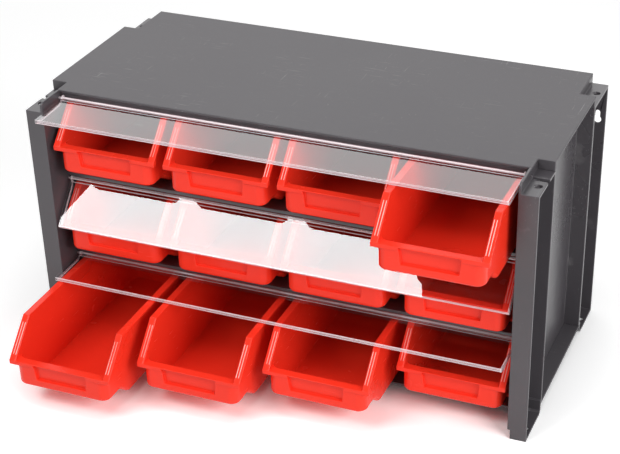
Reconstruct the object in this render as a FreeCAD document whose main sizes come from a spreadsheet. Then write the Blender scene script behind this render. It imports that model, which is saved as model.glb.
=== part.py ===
import FreeCAD, Part
import os
import re
import Sketcher

# Wall bin cabinet: a dark moulded housing of three shelves with four open-fronted
# bins on each, and a clear flap hinged over the mouth of each row.
# Millimetres. X runs to the right, Y to the rear and Z up. The soles of the feet
# are at z = 0 and the origin is under the middle of the cabinet as it stands with
# its pulled-out bins.

ROWS = 3
BINS_PER_ROW = 4
ROW_NAMES = ("bottom", "middle", "top")
LEAST_CUT = 0.01

SIZES = (
    # housing
    ("width", 400.0),
    ("depth", 196.5),
    ("origin_back", 52.75),
    ("plate", 2.0),
    ("shelf_pitch", 68.07),
    ("foot_height", 7.9),
    ("web_wall", 2.0),
    ("column_width", 12.7),
    ("column_wall", 2.0),
    ("front_column", 42.3),
    ("rear_column", 43.6),
    ("rear_partition", 3.1),
    ("front_foot_corner", 3.0),
    ("rear_foot_corner", 5.0),
    ("stack_gap", 0.2),
    ("post_depth", 4.5),
    ("panel_setback", 26.0),
    ("panel_lip", 5.6),
    ("panel_lip_plate", 1.6),
    ("horn_round", 3.5),
    ("shelf_setback", 23.0),
    ("shelf_lip", 3.0),
    ("shelf_lip_depth", 1.6),
    ("groove_depth", 0.8),
    ("fit_gap", 0.1),
    # holes of the columns
    ("pin_hole_radius", 2.9),
    ("pin_hole_edge", 5.1),
    ("front_pin_setback", 15.3),
    ("rear_pin_setback", 18.5),
    ("slot_front", 23.4),
    ("slot_width", 4.7),
    ("slot_corner", 1.5),
    ("key_edge", 6.6),
    ("key_head_radius", 3.1),
    ("key_slot_radius", 2.0),
    ("key_head_height", 176.8),
    ("key_rise", 5.9),
    # flaps
    ("hinge_setback", 25.5),
    ("hinge_drop", 6.2),
    ("hinge_gap", 0.4),
    ("hinge_bore_radius", 1.3),
    ("hinge_bore_depth", 2.5),
    ("flap_pin_radius", 1.0),
    ("flap_pin_length", 3.9),
    ("flap_end_gap", 2.3),
    ("flap_rod_radius", 1.2),
    ("flap_eye_radius", 2.4),
    ("flap_reach", 40.5),
    ("flap_plate", 1.5),
    ("flap_hinge_strip", 3.0),
    ("flap_strip_plate", 0.9),
    ("flap_front_skirt", 3.0),
    ("flap_side_skirt", 4.5),
    ("flap_skirt_wall", 1.0),
    ("flap_skirt_corner", 3.0),
    ("flap_rest_gap", 0.9),
    ("flap_closed_angle", 48.0),
    # bins
    ("bin_width", 85.3),
    ("bin_length", 190.8),
    ("bin_height", 57.4),
    ("bin_running_gap", 0.2),
    ("bin_setback", 3.0),
    ("bin_body_width", 78.0),
    ("bin_wall", 1.8),
    ("bin_front_setback", 1.2),
    ("bin_front_wall", 5.4),
    ("bin_floor", 1.8),
    ("bin_lip_height", 31.6),
    ("bin_lip_plate", 3.4),
    ("bin_lip_depth", 4.6),
    ("bin_slope_depth", 26.0),
    ("bin_rim_plate", 2.0),
    ("bin_rim_rear", 3.0),
    ("bin_nose_rise", 10.0),
    ("bin_nose_depth", 20.4),
    ("bin_ramp_depth", 12.6),
    ("bin_front_round", 7.5),
    ("bin_inner_round", 5.0),
    ("bin_rear_round", 5.0),
    ("bin_bottom_round", 3.0),
    ("bin_bend_round", 6.0),
    ("label_depth", 2.6),
    ("label_bottom_width", 42.0),
    ("label_top_width", 45.0),
    ("label_sill", 17.3),
    ("label_skin", 1.0),
    # how far out the open bins stand
    ("pull_top_4", 53.0),
    ("pull_bottom_1", 94.0),
    ("pull_bottom_2", 64.0),
    ("pull_bottom_3", 39.4),
)

doc = FreeCAD.newDocument("wall_bin_cabinet")
sheet = doc.addObject("Spreadsheet::Sheet", "sizes")
for row, (alias, value) in enumerate(SIZES, start=1):
    sheet.set("A%d" % row, alias)
    sheet.set("B%d" % row, str(value))
    sheet.setAlias("B%d" % row, alias)
doc.recompute()

ALIASES = {alias for alias, value in SIZES}

# Places that several pieces share, as expressions of the sheet's sizes.
FRONT = "(0 - origin_back)"
REAR = f"({FRONT} + depth)"
WALL_OUT = "(width / 2 - column_width)"
WALL_IN = "(width / 2 - column_width - web_wall)"
FLOOR = "(foot_height + plate)"
TOP = f"({FLOOR} + {ROWS} * shelf_pitch)"
CEILING = f"({TOP} - plate)"
COLUMN_TOP = f"({TOP} - foot_height)"
PANEL_FRONT = f"({FRONT} + panel_setback)"
SHELF_FRONT = f"({FRONT} + shelf_setback)"
HINGE_Y = f"({FRONT} + hinge_setback)"
FRONT_NOTCH = f"({FRONT} + front_column - column_wall + stack_gap)"
REAR_NOTCH = f"({REAR} - rear_column + rear_partition - stack_gap)"
BACK_FACE = f"({REAR} - plate)"


def bound(text):
    """The expression with each size's name pointed at the sheet."""
    def point(match):
        word = match.group()
        return "sizes." + word if word in ALIASES else word
    return re.sub(r"[A-Za-z_][A-Za-z_0-9]*", point, text)


def bind(thing, field, text):
    thing.setExpression(field, bound(text))


def place(thing, across="0", back="0", up="0"):
    bind(thing, ".Placement.Base.x", across)
    bind(thing, ".Placement.Base.y", back)
    bind(thing, ".Placement.Base.z", up)


def new_body(name):
    body = doc.addObject("PartDesign::Body", name)
    body.Label = name
    return body


def new_sketch(body, name, plane, offset="0"):
    """An empty sketch on one of the body's own planes, moved along its normal."""
    sketch = body.newObject("Sketcher::SketchObject", name)
    support = [item for item in body.Origin.OriginFeatures if item.Role == plane][0]
    sketch.AttachmentSupport = (support, [""])
    sketch.MapMode = "FlatFace"
    bind(sketch, ".AttachmentOffset.Base.z", offset)
    return sketch


def pin_point(sketch, geometry, end, place_across, place_up):
    """Holds one point of a sketch at its distances from the sketch's origin."""
    for kind, text in (("DistanceX", place_across), ("DistanceY", place_up)):
        index = sketch.addConstraint(Sketcher.Constraint(kind, -1, 1, geometry, end, 1.0))
        bind(sketch, "Constraints[%d]" % index, text)


def draw_outline(sketch, corners):
    """A closed run of straight lines through corners given as expressions."""
    first = sketch.GeometryCount
    count = len(corners)
    guide = [FreeCAD.Vector(step, step * step, 0) for step in range(count)]
    for step in range(count):
        sketch.addGeometry(Part.LineSegment(guide[step], guide[(step + 1) % count]))
    for step in range(count):
        following = first + (step + 1) % count
        sketch.addConstraint(Sketcher.Constraint("Coincident", first + step, 2, following, 1))
    for step, (across, up) in enumerate(corners):
        pin_point(sketch, first + step, 1, across, up)


def draw_circle(sketch, across, up, radius):
    circle = Part.Circle(FreeCAD.Vector(0, 0, 0), FreeCAD.Vector(0, 0, 1), 1.0)
    index = sketch.addGeometry(circle)
    limit = sketch.addConstraint(Sketcher.Constraint("Radius", index, 1.0))
    bind(sketch, "Constraints[%d]" % limit, radius)
    pin_point(sketch, index, 3, across, up)


def raise_pad(body, sketch, name, length, symmetric=False, backwards=False):
    pad = body.newObject("PartDesign::Pad", name)
    pad.Profile = sketch
    pad.SideType = "Symmetric" if symmetric else "One side"
    pad.Reversed = backwards
    bind(pad, "Length", length)
    return pad


def cut_pocket(body, sketch, name, length, symmetric=False, backwards=False):
    """A pocket, with a test that it took something away."""
    doc.recompute()
    before = body.Shape.Volume
    pocket = body.newObject("PartDesign::Pocket", name)
    pocket.Profile = sketch
    pocket.SideType = "Symmetric" if symmetric else "One side"
    pocket.Reversed = backwards
    bind(pocket, "Length", length)
    doc.recompute()
    if before - body.Shape.Volume < LEAST_CUT:
        raise ValueError(name + " cuts nothing")
    return pocket


def round_edges(body, base, name, radius, wanted):
    """A fillet on the edges of a feature whose middle point passes the test."""
    doc.recompute()
    names = []
    for index, edge in enumerate(base.Shape.Edges, start=1):
        middle = edge.valueAt((edge.FirstParameter + edge.LastParameter) / 2)
        if wanted(edge, middle):
            names.append("Edge%d" % index)
    if not names:
        raise ValueError(name + " finds no edge")
    fillet = body.newObject("PartDesign::Fillet", name)
    fillet.Base = (base, names)
    bind(fillet, "Radius", radius)
    return fillet


def value(text):
    """The number that an expression of the sheet's sizes comes to."""
    probe = re.sub(r"[A-Za-z_][A-Za-z_0-9]*", lambda word: str(getattr(sheet, word.group())), text)
    return float(sheet.evalExpression(probe))


def near(number, target):
    return abs(number - target) < 0.01


def is_upright(edge):
    run = edge.Vertexes[-1].Point - edge.Vertexes[0].Point
    return abs(run.z) > 0.01 and abs(run.x) < 0.01 and abs(run.y) < 0.01


def shelf_floor(row):
    """Upper face of the plate that carries a row of bins, counted from the bottom."""
    return f"({FLOOR} + {row} * shelf_pitch)"


def hinge_height(row):
    return f"({shelf_floor(row + 1)} - hinge_drop)"


# Side moulding: a web with a hollow column at the front and one at the rear, both
# open to the outside. The feet of the columns reach below the web and drop into
# the notches of a cabinet below.
def make_side_wall():
    body = new_body("side_wall_right")
    web = new_sketch(body, "web_outline", "YZ_Plane", WALL_IN)
    draw_outline(web, (
        (FRONT, "foot_height"),
        (PANEL_FRONT, "foot_height"),
        (PANEL_FRONT, FLOOR),
        (REAR, FLOOR),
        (REAR, CEILING),
        (PANEL_FRONT, CEILING),
        (PANEL_FRONT, TOP),
        (FRONT, TOP),
    ))
    web_pad = raise_pad(body, web, "web", "web_wall")
    front = value(FRONT)
    top = value(TOP)
    round_edges(body, web_pad, "horn", "horn_round",
                lambda edge, at: near(at.y, front) and near(at.z, top))
    add_front_column(body)
    add_rear_column(body)
    add_column_holes(body)
    add_wall_bores(body)
    return body


def add_front_column(body):
    partition_back = f"({FRONT} + front_column)"
    partition_front = f"({partition_back} - column_wall)"
    foot_inside = f"({partition_front} - column_wall)"
    sole_end = f"({partition_front} - front_foot_corner)"
    inner_front = f"({FRONT} + column_wall)"
    inner_top = f"({COLUMN_TOP} - column_wall)"
    step = f"({FLOOR} + column_wall)"
    outer = new_sketch(body, "front_column_outline", "YZ_Plane", WALL_OUT)
    draw_outline(outer, (
        (FRONT, "0"),
        (sole_end, "0"),
        (partition_front, "front_foot_corner"),
        (partition_front, FLOOR),
        (partition_back, FLOOR),
        (partition_back, COLUMN_TOP),
        (FRONT, COLUMN_TOP),
    ))
    raise_pad(body, outer, "front_column", "column_width")
    inner = new_sketch(body, "front_recess_outline", "YZ_Plane", f"{WALL_OUT} + column_wall")
    draw_outline(inner, (
        (inner_front, "column_wall"),
        (f"{foot_inside} - front_foot_corner / 2", "column_wall"),
        (foot_inside, "column_wall + front_foot_corner / 2"),
        (foot_inside, step),
        (partition_front, step),
        (partition_front, inner_top),
        (inner_front, inner_top),
    ))
    cut_pocket(body, inner, "front_recess", "column_width", backwards=True)


def add_rear_column(body):
    partition_front = f"({REAR} - rear_column)"
    partition_back = f"({partition_front} + rear_partition)"
    foot_inside = f"({partition_back} + column_wall)"
    sole_start = f"({partition_back} + rear_foot_corner)"
    inner_rear = f"({REAR} - column_wall)"
    inner_top = f"({COLUMN_TOP} - column_wall)"
    step = f"({FLOOR} + column_wall)"
    outer = new_sketch(body, "rear_column_outline", "YZ_Plane", WALL_OUT)
    draw_outline(outer, (
        (sole_start, "0"),
        (REAR, "0"),
        (REAR, COLUMN_TOP),
        (partition_front, COLUMN_TOP),
        (partition_front, FLOOR),
        (partition_back, FLOOR),
        (partition_back, "rear_foot_corner"),
    ))
    raise_pad(body, outer, "rear_column", "column_width")
    inner = new_sketch(body, "rear_recess_outline", "YZ_Plane", f"{WALL_OUT} + column_wall")
    draw_outline(inner, (
        (f"{foot_inside} + rear_foot_corner / 2", "column_wall"),
        (inner_rear, "column_wall"),
        (inner_rear, inner_top),
        (partition_back, inner_top),
        (partition_back, step),
        (foot_inside, step),
        (foot_inside, "column_wall + rear_foot_corner / 2"),
    ))
    cut_pocket(body, inner, "rear_recess", "column_width", backwards=True)


def add_column_holes(body):
    """Pin holes through cap and sole, the open slot of the front cap, the keyhole."""
    pin_x = "(width / 2 - pin_hole_edge)"
    pins = new_sketch(body, "pin_hole_circles", "XY_Plane")
    draw_circle(pins, pin_x, f"{FRONT} + front_pin_setback", "pin_hole_radius")
    draw_circle(pins, pin_x, f"{REAR} - rear_pin_setback", "pin_hole_radius")
    cut_pocket(body, pins, "pin_holes", f"{COLUMN_TOP} + column_wall", backwards=True)

    slot_front = f"({FRONT} + slot_front)"
    slot_back = f"({slot_front} + slot_width)"
    slot = new_sketch(body, "cap_slot_outline", "XY_Plane", COLUMN_TOP)
    draw_outline(slot, (
        (WALL_OUT, slot_front),
        ("width / 2 + column_wall", slot_front),
        ("width / 2 + column_wall", slot_back),
        (WALL_OUT, slot_back),
    ))
    slot_cut = cut_pocket(body, slot, "cap_slot", "column_wall")
    corner_x = value("width / 2")
    corner_y = value(slot_front)
    round_edges(body, slot_cut, "cap_slot_corner", "slot_corner",
                lambda edge, at: near(at.x, corner_x) and near(at.y, corner_y)
                and is_upright(edge))

    key_x = "(width / 2 - key_edge)"
    key_top = "(key_head_height + key_rise)"
    head = new_sketch(body, "key_head_circle", "XZ_Plane", f"0 - {REAR}")
    draw_circle(head, key_x, "key_head_height", "key_head_radius")
    cut_pocket(body, head, "key_head", "column_wall", backwards=True)
    slot_end = new_sketch(body, "key_end_circle", "XZ_Plane", f"0 - {REAR}")
    draw_circle(slot_end, key_x, key_top, "key_slot_radius")
    cut_pocket(body, slot_end, "key_end", "column_wall", backwards=True)
    neck = new_sketch(body, "key_neck_outline", "XZ_Plane", f"0 - {REAR}")
    draw_outline(neck, (
        (f"{key_x} - key_slot_radius", "key_head_height"),
        (f"{key_x} + key_slot_radius", "key_head_height"),
        (f"{key_x} + key_slot_radius", key_top),
        (f"{key_x} - key_slot_radius", key_top),
    ))
    cut_pocket(body, neck, "key_neck", "column_wall", backwards=True)


def add_wall_bores(body):
    """Blind bores for the flap pins and the grooves that hold the shelves' ends."""
    bores = new_sketch(body, "hinge_bore_circles", "YZ_Plane", WALL_IN)
    for row in range(ROWS):
        draw_circle(bores, HINGE_Y, hinge_height(row), "hinge_bore_radius")
    cut_pocket(body, bores, "hinge_bores", "hinge_bore_depth", backwards=True)
    grooves = new_sketch(body, "groove_outlines", "YZ_Plane", WALL_IN)
    for row in range(1, ROWS):
        above = f"({shelf_floor(row)} + fit_gap)"
        below = f"({shelf_floor(row)} - plate - fit_gap)"
        draw_outline(grooves, (
            (f"{SHELF_FRONT} - fit_gap", below),
            (BACK_FACE, below),
            (BACK_FACE, above),
            (f"{SHELF_FRONT} - fit_gap", above),
        ))
    cut_pocket(body, grooves, "shelf_grooves", "groove_depth", backwards=True)


# The top and bottom panels share one outline: full width over the middle of the
# sides, notched at the four corners where the columns stand.
def draw_panel(body):
    outline = new_sketch(body, "panel_outline", "XY_Plane")
    half = "(width / 2)"
    draw_outline(outline, (
        (f"0 - {WALL_OUT}", PANEL_FRONT),
        (WALL_OUT, PANEL_FRONT),
        (WALL_OUT, FRONT_NOTCH),
        (half, FRONT_NOTCH),
        (half, REAR_NOTCH),
        (WALL_OUT, REAR_NOTCH),
        (WALL_OUT, REAR),
        (f"0 - {WALL_OUT}", REAR),
        (f"0 - {WALL_OUT}", REAR_NOTCH),
        (f"0 - {half}", REAR_NOTCH),
        (f"0 - {half}", FRONT_NOTCH),
        (f"0 - {WALL_OUT}", FRONT_NOTCH),
    ))
    raise_pad(body, outline, "panel", "plate")


def make_bottom_panel():
    body = new_body("bottom_panel")
    draw_panel(body)
    place(body, up="foot_height")
    return body


def make_top_panel():
    """The panel, its lip behind the hinge, and four posts that stand on the columns."""
    body = new_body("top_panel")
    draw_panel(body)
    lip = new_sketch(body, "lip_outline", "XY_Plane")
    lip_front = f"({HINGE_Y} + flap_eye_radius + hinge_gap)"
    end = f"({WALL_IN} - fit_gap)"
    draw_outline(lip, (
        (f"0 - {end}", lip_front),
        (end, lip_front),
        (end, f"{lip_front} + panel_lip_plate"),
        (f"0 - {end}", f"{lip_front} + panel_lip_plate"),
    ))
    raise_pad(body, lip, "lip", "panel_lip", backwards=True)
    posts = new_sketch(body, "post_outlines", "XY_Plane")
    spans = (
        (FRONT_NOTCH, f"{FRONT_NOTCH} + post_depth"),
        (f"{REAR_NOTCH} - post_depth", REAR_NOTCH),
    )
    for sign in ("", "0 - "):
        for near_end, far_end in spans:
            draw_outline(posts, (
                (f"{sign}{WALL_OUT}", near_end),
                (f"{sign}width / 2", near_end),
                (f"{sign}width / 2", far_end),
                (f"{sign}{WALL_OUT}", far_end),
            ))
    raise_pad(body, posts, "posts", f"{CEILING} - {COLUMN_TOP}", backwards=True)
    place(body, up=CEILING)
    return body


def make_shelf(name, row):
    """A plate with a small turned-down lip, its ends held in the walls' grooves."""
    body = new_body(name)
    side = new_sketch(body, "shelf_profile", "YZ_Plane")
    lip_back = f"({SHELF_FRONT} + shelf_lip_depth)"
    rear = f"({BACK_FACE} - fit_gap)"
    draw_outline(side, (
        (SHELF_FRONT, "0"),
        (SHELF_FRONT, "0 - shelf_lip"),
        (lip_back, "0 - shelf_lip"),
        (lip_back, "0 - plate"),
        (rear, "0 - plate"),
        (rear, "0"),
    ))
    ends = f"2 * ({WALL_IN} + groove_depth - fit_gap)"
    raise_pad(body, side, "shelf", ends, symmetric=True)
    lip_ends = new_sketch(body, "lip_end_outlines", "XZ_Plane", f"0 - {SHELF_FRONT}")
    for sign in ("", "0 - "):
        draw_outline(lip_ends, (
            (f"{sign}({WALL_IN} - fit_gap)", "0 - plate"),
            (f"{sign}({WALL_IN} + groove_depth)", "0 - plate"),
            (f"{sign}({WALL_IN} + groove_depth)", "0 - shelf_lip"),
            (f"{sign}({WALL_IN} - fit_gap)", "0 - shelf_lip"),
        ))
    cut_pocket(body, lip_ends, "lip_ends", "shelf_lip_depth")
    place(body, up=shelf_floor(row))
    return body


def make_back_panel():
    """The plate behind the bins, between the side webs and the two panels."""
    panel = doc.addObject("Part::Box", "back_panel")
    panel.Label = "back_panel"
    bind(panel, "Length", f"2 * ({WALL_IN} - fit_gap)")
    bind(panel, "Width", "plate")
    bind(panel, "Height", f"{CEILING} - {FLOOR}")
    place(panel, f"0 - ({WALL_IN} - fit_gap)", BACK_FACE, FLOOR)
    return panel


# Flap: drawn level with its hinge axis on X, then tilted about the axis. The pins,
# the round hinge edge and the skirted plate are one moulding.
def make_flap(name, row, tilt):
    body = new_body(name)
    half = f"({WALL_IN} - flap_end_gap)"
    upper = "(flap_plate / 2)"
    strip = "(flap_strip_plate / 2)"
    front = "(0 - flap_reach)"
    rear = "(0 - flap_hinge_strip)"
    skirt_inside = f"({front} + flap_skirt_wall)"

    plate = new_sketch(body, "plate_profile", "YZ_Plane")
    draw_outline(plate, (
        ("0", strip),
        (rear, strip),
        (rear, upper),
        (front, upper),
        (front, f"{upper} - flap_front_skirt"),
        (skirt_inside, f"{upper} - flap_front_skirt"),
        (skirt_inside, f"0 - {upper}"),
        (rear, f"0 - {upper}"),
        (rear, f"0 - {strip}"),
        ("0", f"0 - {strip}"),
    ))
    raise_pad(body, plate, "plate", f"2 * {half}", symmetric=True)

    rod = new_sketch(body, "rod_circle", "YZ_Plane")
    draw_circle(rod, "0", "0", "flap_rod_radius")
    raise_pad(body, rod, "rod", f"2 * {half}", symmetric=True)

    pins = new_sketch(body, "pin_circle", "YZ_Plane")
    draw_circle(pins, "0", "0", "flap_pin_radius")
    raise_pad(body, pins, "pins", f"2 * ({half} + flap_pin_length)", symmetric=True)

    lower = f"({upper} - flap_side_skirt)"
    for side, start in (("right", f"{half} - flap_skirt_wall"), ("left", f"0 - {half}")):
        skirt = new_sketch(body, side + "_skirt_outline", "YZ_Plane", start)
        draw_outline(skirt, (
            (rear, upper),
            (front, upper),
            (front, f"{upper} - flap_front_skirt"),
            (f"{front} + flap_skirt_corner", lower),
            (f"{rear} - flap_skirt_corner", lower),
            (rear, f"0 - {upper}"),
        ))
        raise_pad(body, skirt, side + "_skirt", "flap_skirt_wall")
        eye = new_sketch(body, side + "_eye_circle", "YZ_Plane", start)
        draw_circle(eye, "0", "0", "flap_eye_radius")
        raise_pad(body, eye, side + "_eye", "flap_skirt_wall")

    body.Placement = FreeCAD.Placement(FreeCAD.Vector(), FreeCAD.Rotation(FreeCAD.Vector(1, 0, 0), 1))
    bind(body, ".Placement.Rotation.Angle", tilt)
    place(body, "0", HINGE_Y, hinge_height(row))
    return body


# Bin: drawn with the lip's front edge at y = 0 and its bottom at z = 0. The rim is
# level along the sides and slopes down to the lip.
RIM_RISE = "(bin_height - bin_lip_height)"
RIM_SLANT = f"sqrt(bin_slope_depth * bin_slope_depth + {RIM_RISE} * {RIM_RISE})"
RIM_DROP = f"(bin_rim_plate * {RIM_SLANT} / bin_slope_depth)"
UNDER_LIP = "(bin_lip_height - bin_lip_plate)"
BEHIND_LIP = f"(bin_lip_height + bin_lip_depth * {RIM_RISE} / bin_slope_depth - {RIM_DROP})"
TUB_REAR = "(bin_length - bin_rim_rear)"
INSIDE_FRONT = "(bin_front_setback + bin_front_wall)"
INSIDE_REAR = f"({TUB_REAR} - bin_wall)"
INSIDE_WIDTH = "(bin_body_width - 2 * bin_wall)"


def make_bin(name, row, column, pull):
    body = new_body(name)
    add_tub(body)
    add_rim(body)
    add_label_recess(body)
    pitch = f"(2 * {WALL_IN} / {BINS_PER_ROW})"
    across = f"({column} - {(BINS_PER_ROW - 1) / 2}) * {pitch}"
    back = f"{FRONT} + bin_setback - {pull}"
    place(body, across, back, f"{shelf_floor(row)} + bin_running_gap")
    return body


def add_tub(body):
    """The tub: a raised nose in front, then a ramp down to the flat bottom."""
    nose_end = "(bin_front_setback + bin_nose_depth)"
    side = new_sketch(body, "tub_profile", "YZ_Plane")
    draw_outline(side, (
        ("bin_front_setback", "bin_nose_rise"),
        (nose_end, "bin_nose_rise"),
        (f"{nose_end} + bin_ramp_depth", "0"),
        (TUB_REAR, "0"),
        (TUB_REAR, "bin_height - bin_rim_plate / 2"),
        ("bin_slope_depth", "bin_height - bin_rim_plate / 2"),
        ("bin_lip_depth", f"{BEHIND_LIP} + bin_rim_plate / 2"),
        ("bin_front_setback", "bin_lip_height - bin_lip_plate / 2"),
    ))
    tub = raise_pad(body, side, "tub", "bin_body_width", symmetric=True)
    nose = value("bin_nose_rise")
    bends = (value(nose_end), value(f"{nose_end} + bin_ramp_depth"))
    round_edges(body, tub, "under_bends", "bin_bend_round",
                lambda edge, at: near(at.x, 0) and at.z < nose + LEAST_CUT
                and (near(at.y, bends[0]) or near(at.y, bends[1])))
    hollow = hollow_tub(body)

    front = value("bin_front_setback")
    rear = value(TUB_REAR)
    corners = round_edges(body, hollow, "front_corners", "bin_front_round",
                          lambda edge, at: near(at.y, front) and is_upright(edge))
    corners = round_edges(body, corners, "rear_corners", "bin_rear_round",
                          lambda edge, at: near(at.y, rear) and is_upright(edge))
    inside_front = value(INSIDE_FRONT)
    inside_rear = value(INSIDE_REAR)
    inside_half = value(f"{INSIDE_WIDTH} / 2")

    def is_under(edge, at):
        low = edge.BoundBox.ZMax < nose + LEAST_CUT
        crosses = near(at.x, 0) and front + LEAST_CUT < at.y < rear - LEAST_CUT
        outside = (abs(at.x) > inside_half + LEAST_CUT
                   or not inside_front < at.y < inside_rear)
        return low and outside and not crosses
    round_edges(body, corners, "under_edges", "bin_bottom_round", is_under)


def hollow_tub(body):
    """The inside, whose floor follows the nose and the ramp."""
    ramp_slant = "sqrt(bin_nose_rise * bin_nose_rise + bin_ramp_depth * bin_ramp_depth)"
    shift = f"(bin_floor * ({ramp_slant} - bin_ramp_depth) / bin_nose_rise)"
    nose_end = f"(bin_front_setback + bin_nose_depth + {shift})"
    side = new_sketch(body, "hollow_profile", "YZ_Plane")
    draw_outline(side, (
        (INSIDE_FRONT, "bin_nose_rise + bin_floor"),
        (nose_end, "bin_nose_rise + bin_floor"),
        (f"{nose_end} + bin_ramp_depth", "bin_floor"),
        (INSIDE_REAR, "bin_floor"),
        (INSIDE_REAR, "bin_height"),
        (INSIDE_FRONT, "bin_height"),
    ))
    hollow = cut_pocket(body, side, "hollow", INSIDE_WIDTH, symmetric=True)
    front = value(INSIDE_FRONT)
    return round_edges(body, hollow, "inner_front_corners", "bin_inner_round",
                       lambda edge, at: near(at.y, front) and is_upright(edge))


def add_rim(body):
    """The flange round the mouth, and the lip that it runs down to."""
    knee = f"(bin_slope_depth + ({RIM_DROP} - bin_rim_plate) * bin_slope_depth / {RIM_RISE})"
    side = new_sketch(body, "rim_profile", "YZ_Plane")
    draw_outline(side, (
        ("0", UNDER_LIP),
        ("0", "bin_lip_height"),
        ("bin_slope_depth", "bin_height"),
        ("bin_length", "bin_height"),
        ("bin_length", "bin_height - bin_rim_plate"),
        (knee, "bin_height - bin_rim_plate"),
        ("bin_lip_depth", BEHIND_LIP),
        ("bin_lip_depth", UNDER_LIP),
    ))
    raise_pad(body, side, "rim", "bin_width", symmetric=True)
    over = "(bin_height + bin_rim_plate)"
    opening = new_sketch(body, "mouth_profile", "YZ_Plane")
    draw_outline(opening, (
        ("0 - bin_rim_plate", "bin_lip_height"),
        (INSIDE_REAR, "bin_lip_height"),
        (INSIDE_REAR, over),
        ("0 - bin_rim_plate", over),
    ))
    mouth = cut_pocket(body, opening, "mouth", INSIDE_WIDTH, symmetric=True)
    rear = value(INSIDE_REAR)
    half = value(f"{INSIDE_WIDTH} / 2")
    round_edges(body, mouth, "inner_rear_corners", "bin_inner_round",
                lambda edge, at: near(at.y, rear) and near(abs(at.x), half) and is_upright(edge))


def add_label_recess(body):
    """The window for a label, which runs up into the lip and leaves a skin over it."""
    top = "(bin_lip_height - label_skin)"
    window = new_sketch(body, "label_outline", "XZ_Plane")
    draw_outline(window, (
        ("0 - label_bottom_width / 2", "label_sill"),
        ("label_bottom_width / 2", "label_sill"),
        ("label_top_width / 2", top),
        ("0 - label_top_width / 2", top),
    ))
    cut_pocket(body, window, "label_recess", "bin_front_setback + label_depth")


right_wall = make_side_wall()
left_wall = doc.addObject("Part::Mirroring", "side_wall_left")
left_wall.Label = "side_wall_left"
left_wall.Source = right_wall
left_wall.Normal = FreeCAD.Vector(1, 0, 0)

pieces = [
    left_wall,
    right_wall,
    make_top_panel(),
    make_bottom_panel(),
    make_shelf("shelf_lower", 1),
    make_shelf("shelf_upper", 2),
    make_back_panel(),
]

# A flap that lies on the rims of pulled-out bins is almost level. The middle one
# hangs down over its closed bins.
rest_drop = "(shelf_pitch - hinge_drop - bin_running_gap - bin_height - flap_rest_gap)"
resting = f"asin(({rest_drop} + flap_plate / 2 - flap_front_skirt) / flap_reach)"
flap_tilts = (resting, "flap_closed_angle", resting)
for row in range(ROWS):
    pieces.append(make_flap("flap_" + ROW_NAMES[row], row, flap_tilts[row]))

for row in range(ROWS):
    for column in range(BINS_PER_ROW):
        place_name = "%s_%d" % (ROW_NAMES[row], column + 1)
        pull = "pull_" + place_name
        if pull not in ALIASES:
            pull = "0"
        pieces.append(make_bin("bin_" + place_name, row, column, pull))

doc.recompute()
for item in doc.Objects:
    if "Invalid" in item.State or "Error" in item.State:
        raise ValueError(item.Label + " failed: " + ", ".join(item.State))
for piece in pieces:
    if piece.Shape.isNull() or not piece.Shape.isValid():
        raise ValueError(piece.Label + " has no valid shape")

os.makedirs("parts", exist_ok=True)
for piece in pieces:
    piece.Shape.exportStep(os.path.join("parts", piece.Label + ".step"))
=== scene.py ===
import math

import bmesh
import bpy
from mathutils import Matrix, Vector


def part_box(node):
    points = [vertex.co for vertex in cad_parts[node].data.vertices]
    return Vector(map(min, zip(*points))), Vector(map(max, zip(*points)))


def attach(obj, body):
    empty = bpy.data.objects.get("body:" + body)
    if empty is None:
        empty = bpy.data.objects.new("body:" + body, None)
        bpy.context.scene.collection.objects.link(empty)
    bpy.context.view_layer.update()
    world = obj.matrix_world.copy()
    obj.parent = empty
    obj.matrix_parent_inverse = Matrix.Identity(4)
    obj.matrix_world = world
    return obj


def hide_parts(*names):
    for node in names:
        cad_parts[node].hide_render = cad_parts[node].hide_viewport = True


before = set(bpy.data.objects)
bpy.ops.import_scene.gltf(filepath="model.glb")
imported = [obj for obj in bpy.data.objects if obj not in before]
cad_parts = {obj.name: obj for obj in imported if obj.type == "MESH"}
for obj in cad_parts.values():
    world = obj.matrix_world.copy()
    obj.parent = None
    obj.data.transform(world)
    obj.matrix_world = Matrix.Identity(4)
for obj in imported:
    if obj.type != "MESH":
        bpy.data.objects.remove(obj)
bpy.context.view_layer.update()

MM = 0.001

# Where the cabinet is seen from, in degrees round it and down on it, and the lens
AZIMUTH = 20.95
ELEVATION = 31.62
ROLL = -0.30
EYE = Vector((433.0, -968.75, 710.0)) * MM
FOCAL_PIXELS = 1575.8
PICTURE = (620, 454)
OPTICAL_CENTRE = (377.0, 292.0)
SENSOR = 36.0
NEAREST = 0.05
FARTHEST = 20.0

ROWS = ("bottom", "middle", "top")
BINS_PER_ROW = 4
SMOOTH_HOUSING = ("side_wall_left", "side_wall_right", "shelf_upper", "shelf_lower", "back_panel")
GRAINED_HOUSING = ("top_panel", "bottom_panel")

# How far the moulded edges are rounded, in millimetres, and which edges are sharp, in degrees
HOUSING_ROUND = 0.5
BIN_ROUND = 0.45
RIM_INNER_ROUND = 0.95
FLAP_ROUND = 0.40
ROUNDING_STEPS = 3
ROUND_SHARE = 0.42
WELD = 0.01
FLAT_ANGLE = 0.3
SHARP_ANGLE = 28.0
SIDEWAYS = 0.8
EVEN_SHADING = 80

# The bin's sloping rim, in millimetres from its lip's front edge and its sole
LIP_HEIGHT = 31.6
RIM_HEIGHT = 57.4
SLOPE_DEPTH = 26.0
MOUTH_HALF_WIDTH = 37.2
MOUTH_SLACK = 0.3
SHORTEST_RIM = 2.0
ON_SLOPE = 0.995

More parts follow.
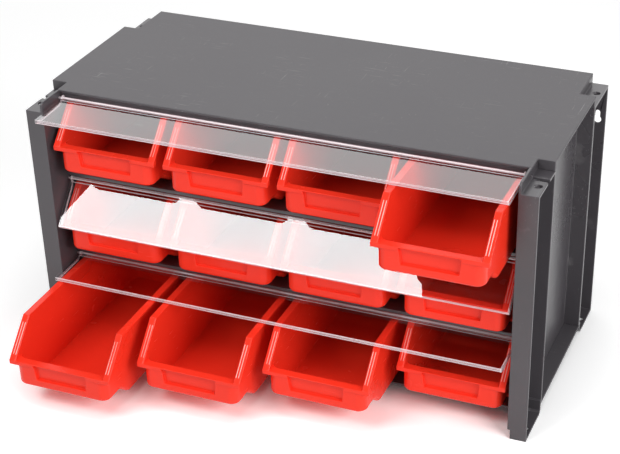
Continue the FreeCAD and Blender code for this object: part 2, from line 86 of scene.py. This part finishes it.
# The ribs on it: where they start and end along the slope, their section and their places
RIB_START = 0.14
RIB_END = 0.84
RIB_WIDTH = 0.60
RIB_THICKNESS = 0.50
RIB_SUNK = 0.05
OUTER_RIB = 40.5
INNER_RIB = 38.5

# The flaps: how far each tilts down from level, in degrees, and how wide its edges are
FLAP_TILT = {"bottom": 1.6, "middle": 48.0, "top": 1.6}
EDGE_WIDTH = 3.3
CORNER_WIDTH = 0.45
FACING_PLATE = 0.97

# Colours of the mouldings
HOUSING_DARK = (0.046, 0.042, 0.047)
HOUSING_LIGHT = (0.064, 0.058, 0.065)
SCUFFED = (0.23, 0.22, 0.225)
BIN_RED = (0.81, 0.030, 0.013)
BIN_RED_LIGHT = (0.88, 0.040, 0.018)
# Pale pink of the rim ribs: painted highlight, the bright lines that light along their edges
# gives
RIB_PAINTED_HIGHLIGHT = (0.98, 0.60, 0.55)
SHEET_TINT = (0.98, 0.98, 0.985)
SHEET_MIRROR = (0.97, 0.97, 0.98)
EDGE_TINT = (0.97, 0.95, 0.96)
# Pale pink and pale white on the flap edges: painted highlight
EDGE_HIGHLIGHT_PINK = (0.74, 0.62, 0.65)
EDGE_HIGHLIGHT_PALE = (0.95, 0.90, 0.92)
WHITE = (1.0, 1.0, 1.0)

# The white room, and the paper floor that fades into it
ROOM_LIGHT = 0.34
ROOM_AS_SEEN = 1.0
FLOOR_SHADE = 0.86
FLOOR_AS_SEEN = 1.24
FLOOR_FADE = (0.55, 1.05)
FLOOR_HALF_WIDTH = 4.0

# The front softbox stands where the middle flap mirrors it
SOFTBOX_DISTANCE = 1.2
SOFTBOX_TOWARDS = Vector((-0.384, -0.573, 0.724))
SOFTBOX_FROM = Vector((0.0, -0.043, 0.124))
SOFTBOX_RIGHT = Vector((0.8303, -0.5572, 0.0))
SOFTBOX_SPAN = (-0.266, 0.345)
SOFTBOX_RISE = (-0.165, 0.20)
SOFTBOX_WATTS = 5.7

# The other softboxes: name, place, what each faces, size, watts
SOFTBOXES = (
    ("rear_softbox", (-0.50, 1.25, 1.00), (0.0, 0.0, 0.2), (1.5, 0.9), 3.4),
    ("right_softbox", (1.20, -0.55, 0.75), (0.0, 0.0, 0.1), (0.9, 0.7), 15.0),
    ("top_softbox", (0.05, -0.22, 1.50), (0.0, -0.1, 0.1), (0.9, 0.5), 5.4),
)


def shade(colour):
    """The colour with the alpha that a socket wants."""
    return (*colour, 1.0)


class Wire:
    """A socket to reckon with: the usual signs add the Math nodes."""

    def __init__(self, finish, socket):
        self.finish = finish
        self.socket = socket

    def math(self, operation, first, second, clamp=False):
        made = self.finish.node("ShaderNodeMath", {"operation": operation, "use_clamp": clamp},
                                {0: first, 1: second})
        return Wire(self.finish, made.outputs[0])

    def __add__(self, other):
        return self.math("ADD", self, other)

    __radd__ = __add__

    def __mul__(self, other):
        return self.math("MULTIPLY", self, other)

    __rmul__ = __mul__

    def __sub__(self, other):
        return self.math("SUBTRACT", self, other)

    def __rsub__(self, other):
        return self.math("SUBTRACT", other, self)

    def __truediv__(self, other):
        return self.math("DIVIDE", self, other)

    def held(self):
        """The value kept between 0 and 1."""
        return self.math("ADD", self, 0.0, clamp=True)


class Finish:
    """A material in the making. One method adds every node to it."""

    def __init__(self, name):
        self.material = bpy.data.materials.new(name)
        self.material.use_nodes = True
        self.tree = self.material.node_tree
        self.tree.nodes.clear()
        self.place = self.read("ShaderNodeTexCoord", "Object", {}, {})

    def node(self, kind, settings, values):
        made = self.tree.nodes.new(kind)
        for field, setting in settings.items():
            setattr(made, field, setting)
        for name, value in values.items():
            if isinstance(value, Wire):
                self.tree.links.new(value.socket, made.inputs[name])
            else:
                made.inputs[name].default_value = value
        return made

    def read(self, kind, output, settings, values):
        return Wire(self, self.node(kind, settings, values).outputs[output])

    def noise(self, scale, detail, stretch=None):
        """Noise in metres, or drawn out along the axes when a stretch is given."""
        place = self.place
        if stretch:
            place = self.read("ShaderNodeMapping", "Vector", {},
                              {"Vector": place, "Scale": stretch})
        return self.read("ShaderNodeTexNoise", 0, {},
                         {"Vector": place, "Scale": scale, "Detail": detail})

    def streaks(self, stretch, detail=3.0):
        return self.noise(scale=1.0, detail=detail, stretch=stretch)

    def between(self, wire, low, high):
        """0 up to the low value, 1 from the high one."""
        return self.read("ShaderNodeMapRange", "Result", {"clamp": True},
                         {"Value": wire, "From Min": low, "From Max": high})

    def mixed(self, share, first, second):
        return self.read("ShaderNodeMix", 2, {"data_type": "RGBA"},
                         {0: share, 6: first, 7: second})

    def bump(self, height, strength, distance):
        return self.read("ShaderNodeBump", "Normal", {},
                         {"Height": height, "Strength": strength, "Distance": distance})

    def plastic(self, **values):
        named = {name.replace("_", " "): value for name, value in values.items()}
        return self.read("ShaderNodeBsdfPrincipled", 0, {}, named)

    def clear(self, tint):
        return self.read("ShaderNodeBsdfTransparent", 0, {}, {"Color": shade(tint)})

    def shared(self, share, first, second):
        return self.read("ShaderNodeMixShader", 0, {}, {0: share, 1: first, 2: second})

    def done(self, shader):
        self.node("ShaderNodeOutputMaterial", {}, {"Surface": shader})
        return self.material


def housing_plastic(name, grain, dull, scuffs):
    """Anthracite plastic: fine grain, faint clouds, pale handling marks."""
    finish = Finish(name)
    cloud = finish.noise(scale=7.0, detail=4.0)
    mottle = finish.noise(scale=150.0, detail=3.0)
    fine = finish.noise(scale=2400.0, detail=2.0)
    along = finish.between(finish.streaks((50.0, 900.0, 60.0)), low=0.64, high=0.74)
    across = finish.between(finish.streaks((700.0, 45.0, 420.0)), low=0.66, high=0.76)
    patches = finish.between(finish.noise(scale=18.0, detail=2.0), low=0.48, high=0.68)
    specks = finish.between(finish.noise(scale=520.0, detail=1.0), low=0.76, high=0.82)
    worn = ((along + across) * patches * scuffs + specks * (0.5 * scuffs)).held()
    tone = (cloud * 0.7 + mottle * 0.3).held()
    base = finish.mixed(tone, shade(HOUSING_DARK), shade(HOUSING_LIGHT))
    return finish.done(finish.plastic(
        Base_Color=finish.mixed(worn, base, shade(SCUFFED)),
        Roughness=(cloud * 0.10 + worn * 0.12 + dull).held(),
        Normal=finish.bump(fine + mottle * 0.6, strength=grain, distance=0.0001)))


def bin_plastic(name, red, gloss, dull):
    """Red plastic, smooth and a little wavy, with a few drawn-out scratches."""
    finish = Finish(name)
    cloud = finish.noise(scale=14.0, detail=4.0)
    fine = finish.noise(scale=1500.0, detail=2.0)
    ripple = finish.streaks((26.0, 8.0, 26.0), detail=2.0)
    scratch = finish.between(finish.streaks((40.0, 60.0, 700.0)), low=0.68, high=0.78)
    return finish.done(finish.plastic(
        Base_Color=finish.mixed(cloud, shade(red), shade(BIN_RED_LIGHT)),
        Roughness=(cloud * 0.08 + scratch * 0.10 + dull).held(),
        Specular_IOR_Level=gloss,
        Normal=finish.bump(fine * 0.10 + ripple, strength=0.10, distance=0.0005)))


def flap_sheet():
    """Clear polished plastic: both its faces mirror the room, and light goes through."""
    finish = Finish("flap_clear_plastic")
    haze = finish.noise(scale=24.0, detail=3.0)
    waves = finish.streaks((5.0, 24.0, 24.0), detail=2.0)
    normal = finish.bump(waves, strength=0.012, distance=0.0004)
    fresnel = finish.read("ShaderNodeFresnel", 0, {}, {"IOR": 1.5, "Normal": normal})
    inside = finish.read("ShaderNodeNewGeometry", "Backfacing", {}, {})
    both_faces = fresnel * 2.05 / (1.0 + fresnel)
    mirrored = ((both_faces + haze * 0.02) * (1.0 - inside)).held()
    mirror = finish.plastic(
        Base_Color=shade(SHEET_MIRROR),
        Metallic=1.0,
        Roughness=(haze * 0.03 + 0.01).held(),
        Normal=normal)
    return finish.done(finish.shared(mirrored, finish.clear(SHEET_TINT), mirror))


def flap_edge(name, highlight_share):
    """The flap's narrow edges: their milky pale-pink colour is painted highlight, the bright
    lines that light gathered in the sheet gives them.
    """
    finish = Finish(name)
    streak = finish.streaks((30.0, 900.0, 900.0))
    milky_highlight = finish.plastic(
        Base_Color=finish.mixed(streak, shade(EDGE_HIGHLIGHT_PINK), shade(EDGE_HIGHLIGHT_PALE)),
        Roughness=(streak * 0.2 + 0.12).held())
    return finish.done(finish.shared((streak * 0.2 + highlight_share).held(),
                                     finish.clear(EDGE_TINT), milky_highlight))


def floor_paper():
    """White paper: it keeps the shadow, is white to the eye and fades into the room."""
    finish = Finish("floor_white")
    cloud = finish.noise(scale=3.0, detail=2.0)
    path = finish.node("ShaderNodeLightPath", {}, {})
    camera, glossy, through = (Wire(finish, path.outputs["Is %s Ray" % kind])
                               for kind in ("Camera", "Glossy", "Transmission"))
    seen = (camera + glossy + through).held()
    level = cloud * 0.02 + FLOOR_SHADE + seen * (FLOOR_AS_SEEN - FLOOR_SHADE)
    tone = finish.read("ShaderNodeCombineColor", "Color", {}, {0: level, 1: level, 2: level})
    paper = finish.read("ShaderNodeBsdfDiffuse", 0, {}, {"Color": tone})
    room = finish.read("ShaderNodeEmission", 0, {}, {"Color": shade(WHITE)})
    away = finish.read("ShaderNodeVectorMath", "Value", {"operation": "LENGTH"},
                       {0: finish.place})
    faded = finish.between(away, *FLOOR_FADE) * seen
    return finish.done(finish.shared(faded, paper, room))


def linked(name, mesh):
    piece = bpy.data.objects.new(name, mesh)
    bpy.context.scene.collection.objects.link(piece)
    return piece


def bake(piece):
    """Turn the piece's modifiers into plain mesh."""
    shape = piece.evaluated_get(bpy.context.evaluated_depsgraph_get())
    mesh = bpy.data.meshes.new_from_object(shape)
    piece.modifiers.clear()
    piece.data = mesh


def room_beside(edge):
    """The shortest edge that leaves this one sideways: how far it can be rounded."""
    line = (edge.verts[1].co - edge.verts[0].co).normalized()
    shortest = 1.0
    for corner in edge.verts:
        for other in corner.link_edges:
            if other is edge:
                continue
            reach = other.other_vert(corner).co - corner.co
            if abs(reach.normalized().dot(line)) < SIDEWAYS:
                shortest = min(shortest, reach.length)
    return shortest


def rounded_form(mesh, rounding_of):
    """Merge the node's triangles into faces and weigh each sharp edge for rounding."""
    form = bmesh.new()
    form.from_mesh(mesh)
    bmesh.ops.remove_doubles(form, verts=form.verts, dist=WELD * MM)
    bmesh.ops.dissolve_limit(form, angle_limit=math.radians(FLAT_ANGLE), verts=form.verts,
                             edges=form.edges)
    weights = form.edges.layers.float.new("bevel_weight_edge")
    widest = 0.0
    wanted = {}
    for edge in form.edges:
        if len(edge.link_faces) == 2 and edge.calc_face_angle() > math.radians(SHARP_ANGLE):
            wanted[edge] = min(rounding_of(edge) * MM, ROUND_SHARE * room_beside(edge))
            widest = max(widest, wanted[edge])
    for edge, width in wanted.items():
        edge[weights] = width / widest
    for face in form.faces:
        face.smooth = True
    form.to_mesh(mesh)
    form.free()
    return widest


def keep_inside(piece, node):
    """Draw back the corners that the rounding pushes out of the node's own box."""
    low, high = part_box(node)
    for corner in piece.data.vertices:
        corner.co = [min(max(corner.co[axis], low[axis]), high[axis]) for axis in range(3)]


def moulding(node, finish, body, rounding_of):
    """A moulded piece: the node's form with its sharp edges rounded."""
    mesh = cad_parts[node].data.copy()
    mesh.materials.clear()
    mesh.materials.append(finish)
    widest = rounded_form(mesh, rounding_of)
    piece = linked(node + "_moulding", mesh)
    rounding = piece.modifiers.new("rounding", "BEVEL")
    rounding.width = widest
    rounding.segments = ROUNDING_STEPS
    rounding.limit_method = "WEIGHT"
    rounding.use_clamp_overlap = False
    rounding.miter_outer = "MITER_ARC"
    piece.modifiers.new("even_shading", "WEIGHTED_NORMAL").weight = EVEN_SHADING
    bake(piece)
    keep_inside(piece, node)
    for face in piece.data.polygons:
        face.material_index = 0
    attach(piece, body)
    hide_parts(node)
    return piece


def rim_rounding(middle, front):
    """Rounding for a bin: wider where the sloping rim turns down into the bin."""
    def beside_mouth(place):
        off_middle = abs(place.x - middle) / MM
        return (abs(off_middle - MOUTH_HALF_WIDTH) < MOUTH_SLACK
                and place.y < front + (SLOPE_DEPTH + 1.0) * MM)

    def rounding_of(edge):
        first, second = (corner.co for corner in edge.verts)
        rise = abs(first.z - second.z) / MM
        run = abs(first.y - second.y) / MM
        sloping = rise > SHORTEST_RIM and run > SHORTEST_RIM
        if sloping and beside_mouth(first) and beside_mouth(second):
            return RIM_INNER_ROUND
        return BIN_ROUND

    return rounding_of


def rib_tree():
    """Two fine ribs on each side of a bin's mouth, from named sizes."""
    tree = bpy.data.node_groups.new("rim_ribs", "GeometryNodeTree")
    for name, kind in (("Lower End", "Vector"), ("Upper End", "Vector"),
                       ("Outer Rib", "Vector"), ("Inner Rib", "Vector"),
                       ("Rib Width", "Float"), ("Rib Thickness", "Float"),
                       ("Finish", "Material")):
        tree.interface.new_socket(name=name, in_out="INPUT", socket_type="NodeSocket" + kind)
    tree.interface.new_socket(name="Ribs", in_out="OUTPUT", socket_type="NodeSocketGeometry")
    given = tree.nodes.new("NodeGroupInput").outputs
    result = tree.nodes.new("NodeGroupOutput")

    def node(kind, settings, values):
        made = tree.nodes.new(kind)
        for field, setting in settings.items():
            setattr(made, field, setting)
        for name, value in values.items():
            if isinstance(value, bpy.types.NodeSocket):
                tree.links.new(value, made.inputs[name])
            else:
                made.inputs[name].default_value = value
        return made.outputs[0]

    line = node("GeometryNodeCurvePrimitiveLine", {},
                {"Start": given["Lower End"], "End": given["Upper End"]})
    section = node("GeometryNodeCurvePrimitiveQuadrilateral", {},
                   {"Width": given["Rib Width"], "Height": given["Rib Thickness"]})
    rib = node("GeometryNodeCurveToMesh", {},
               {"Curve": line, "Profile Curve": section, "Fill Caps": True})
    pairs = []
    for side in ("Outer Rib", "Inner Rib"):
        other_side = node("ShaderNodeVectorMath", {"operation": "MULTIPLY"},
                          {0: given[side], 1: (-1.0, 1.0, 1.0)})
        across = node("ShaderNodeVectorMath", {"operation": "SUBTRACT"},
                      {0: other_side, 1: given[side]})
        pairs.append(node("GeometryNodeMeshLine", {},
                          {"Count": 2, "Start Location": given[side], "Offset": across}))
    places = tree.nodes.new("GeometryNodeJoinGeometry")
    for pair in pairs:
        tree.links.new(pair, places.inputs[0])
    ribs = node("GeometryNodeInstanceOnPoints", {},
                {"Points": places.outputs[0], "Instance": rib})
    solid = node("GeometryNodeRealizeInstances", {}, {"Geometry": ribs})
    finished = node("GeometryNodeSetMaterial", {},
                    {"Geometry": solid, "Material": given["Finish"]})
    tree.links.new(finished, result.inputs[0])
    return tree


def rim_ribs(tree, name, middle, front, sole, finish):
    """The fine ribs on a bin's sloping rim."""
    lip = Vector((0.0, 0.0, LIP_HEIGHT))
    slope = Vector((0.0, SLOPE_DEPTH, RIM_HEIGHT - LIP_HEIGHT))
    sunk = Vector((0.0, -slope.z, slope.y)).normalized() * RIB_SUNK
    sizes = {
        "Lower End": tuple((lip + slope * RIB_START - sunk) * MM),
        "Upper End": tuple((lip + slope * RIB_END - sunk) * MM),
        "Outer Rib": (OUTER_RIB * MM, 0.0, 0.0),
        "Inner Rib": (INNER_RIB * MM, 0.0, 0.0),
        "Rib Width": RIB_WIDTH * MM,
        "Rib Thickness": RIB_THICKNESS * MM,
        "Finish": finish,
    }
    piece = linked(name + "_rim_ribs", bpy.data.meshes.new(name + "_rim_ribs"))
    ribs = piece.modifiers.new("ribs", "NODES")
    ribs.node_group = tree
    for item in tree.interface.items_tree:
        if item.in_out == "INPUT":
            ribs[item.identifier] = sizes[item.name]
    bake(piece)
    piece.data.transform(Matrix.Translation((middle, front, sole)))
    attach(piece, name)


def highlight_edges(piece, row):
    """Give the flap's narrow edges and corners the painted-highlight finishes; broad faces stay
    clear.
    """
    tilt = math.radians(FLAP_TILT[row])
    plate = Vector((0.0, -math.sin(tilt), math.cos(tilt)))
    mesh = piece.data
    for face in mesh.polygons:
        if abs(face.normal.dot(plate)) > FACING_PLATE:
            continue
        corners = [mesh.vertices[index].co for index in face.vertices]
        longest = max((corners[i] - corners[i - 1]).length for i in range(len(corners)))
        width = face.area / longest / MM
        if width < EDGE_WIDTH:
            face.material_index = 2 if width < CORNER_WIDTH else 1


def matt_rims(piece, front):
    """The tops of a bin's sloping rims have a matt finish."""
    out = Vector((0.0, LIP_HEIGHT - RIM_HEIGHT, SLOPE_DEPTH)).normalized()
    for face in piece.data.polygons:
        if face.normal.dot(out) > ON_SLOPE and face.center.y < front + SLOPE_DEPTH * MM:
            face.material_index = 1


def make_camera():
    azimuth = math.radians(AZIMUTH)
    elevation = math.radians(ELEVATION)
    roll = math.radians(ROLL)
    ahead = Vector((-math.sin(azimuth) * math.cos(elevation),
                    math.cos(azimuth) * math.cos(elevation),
                    -math.sin(elevation)))
    level_right = Vector((math.cos(azimuth), math.sin(azimuth), 0.0))
    level_up = level_right.cross(ahead)
    right = level_right * math.cos(roll) + level_up * math.sin(roll)
    up = level_up * math.cos(roll) - level_right * math.sin(roll)
    data = bpy.data.cameras.new("camera")
    data.sensor_fit = "HORIZONTAL"
    data.sensor_width = SENSOR
    data.lens = SENSOR * FOCAL_PIXELS / PICTURE[0]
    data.shift_x = (PICTURE[0] / 2 - OPTICAL_CENTRE[0]) / PICTURE[0]
    data.shift_y = (OPTICAL_CENTRE[1] - PICTURE[1] / 2) / PICTURE[0]
    data.clip_start = NEAREST
    data.clip_end = FARTHEST
    camera = linked("camera", data)
    turn = Matrix((right, up, -ahead)).transposed()
    camera.matrix_world = Matrix.Translation(EYE) @ turn.to_4x4()
    bpy.context.scene.camera = camera


def make_lamp(name, place, towards, size, watts, right=None):
    """A rectangular softbox that faces a point, its width level or along a given line."""
    data = bpy.data.lights.new(name, "AREA")
    data.shape = "RECTANGLE"
    data.size, data.size_y = size
    data.energy = watts
    back = (Vector(place) - Vector(towards)).normalized()
    across = Vector(right or Vector((0.0, 0.0, 1.0)).cross(back)).normalized()
    turn = Matrix((across, back.cross(across), back)).transposed()
    linked(name, data).matrix_world = Matrix.Translation(place) @ turn.to_4x4()


def make_lamps():
    up = SOFTBOX_TOWARDS.normalized().cross(SOFTBOX_RIGHT)
    place = (SOFTBOX_FROM + SOFTBOX_TOWARDS * SOFTBOX_DISTANCE
             + SOFTBOX_RIGHT * (sum(SOFTBOX_SPAN) / 2) + up * (sum(SOFTBOX_RISE) / 2))
    size = (SOFTBOX_SPAN[1] - SOFTBOX_SPAN[0], SOFTBOX_RISE[1] - SOFTBOX_RISE[0])
    make_lamp("front_softbox", place, place - SOFTBOX_TOWARDS, size, SOFTBOX_WATTS,
              SOFTBOX_RIGHT)
    for softbox in SOFTBOXES:
        make_lamp(*softbox)


def make_room():
    """White to the camera and in mirrors; dimmer as light, so that shapes keep shadows."""
    world = bpy.data.worlds.new("white_room")
    world.use_nodes = True
    tree = world.node_tree
    tree.nodes.clear()
    path = tree.nodes.new("ShaderNodeLightPath").outputs
    seen = path["Is Camera Ray"]
    for other in ("Is Glossy Ray", "Is Transmission Ray"):
        either = tree.nodes.new("ShaderNodeMath")
        either.operation = "MAXIMUM"
        tree.links.new(seen, either.inputs[0])
        tree.links.new(path[other], either.inputs[1])
        seen = either.outputs[0]
    mixed = tree.nodes.new("ShaderNodeMixShader")
    tree.links.new(seen, mixed.inputs[0])
    for index, level in ((1, ROOM_LIGHT), (2, ROOM_AS_SEEN)):
        made = tree.nodes.new("ShaderNodeBackground")
        made.inputs["Color"].default_value = shade(WHITE)
        made.inputs["Strength"].default_value = level
        tree.links.new(made.outputs[0], mixed.inputs[index])
    output = tree.nodes.new("ShaderNodeOutputWorld")
    tree.links.new(mixed.outputs[0], output.inputs["Surface"])
    bpy.context.scene.world = world


def make_floor():
    half = FLOOR_HALF_WIDTH
    corners = [(-half, -half, 0.0), (half, -half, 0.0), (half, half, 0.0), (-half, half, 0.0)]
    mesh = bpy.data.meshes.new("floor")
    mesh.from_pydata(corners, [], [(0, 1, 2, 3)])
    mesh.materials.append(floor_paper())
    linked("floor", mesh)


def make_housing():
    smooth = housing_plastic("housing_smooth_plastic", grain=0.10, dull=0.24, scuffs=0.30)
    grained = housing_plastic("housing_grained_plastic", grain=0.35, dull=0.42, scuffs=1.0)
    for nodes, finish in ((SMOOTH_HOUSING, smooth), (GRAINED_HOUSING, grained)):
        for node in nodes:
            moulding(node, finish, "housing", lambda edge: HOUSING_ROUND)


def make_flaps():
    sheet = flap_sheet()
    # The edges and corner strips get a painted highlight, a milky pale colour for the bright
    # lines along them
    edge = flap_edge("flap_edge_highlight_plastic", highlight_share=0.16)
    corner = flap_edge("flap_corner_highlight_plastic", highlight_share=0.55)
    for row in ROWS:
        name = "flap_" + row
        piece = moulding(name, sheet, name, lambda edge: FLAP_ROUND)
        piece.data.materials.append(edge)
        piece.data.materials.append(corner)
        highlight_edges(piece, row)


def make_bins():
    red = bin_plastic("bin_red_plastic", BIN_RED, gloss=0.21, dull=0.22)
    matt_red = bin_plastic("bin_matt_rim", BIN_RED, gloss=0.06, dull=0.45)
    # The ribs' pale colour is a painted highlight
    rib_highlight_red = bin_plastic("bin_worn_rib", RIB_PAINTED_HIGHLIGHT, gloss=0.50, dull=0.22)
    tree = rib_tree()
    for row in ROWS:
        for number in range(1, BINS_PER_ROW + 1):
            name = "bin_%s_%d" % (row, number)
            low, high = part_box(name)
            middle = (low[0] + high[0]) / 2
            piece = moulding(name, red, name, rim_rounding(middle, low[1]))
            piece.data.materials.append(matt_red)
            matt_rims(piece, low[1])
            rim_ribs(tree, name, middle, low[1], low[2], rib_highlight_red)


bpy.context.scene.view_settings.view_transform = "Standard"
make_camera()
make_room()
make_floor()
make_lamps()
make_housing()
make_flaps()
make_bins()
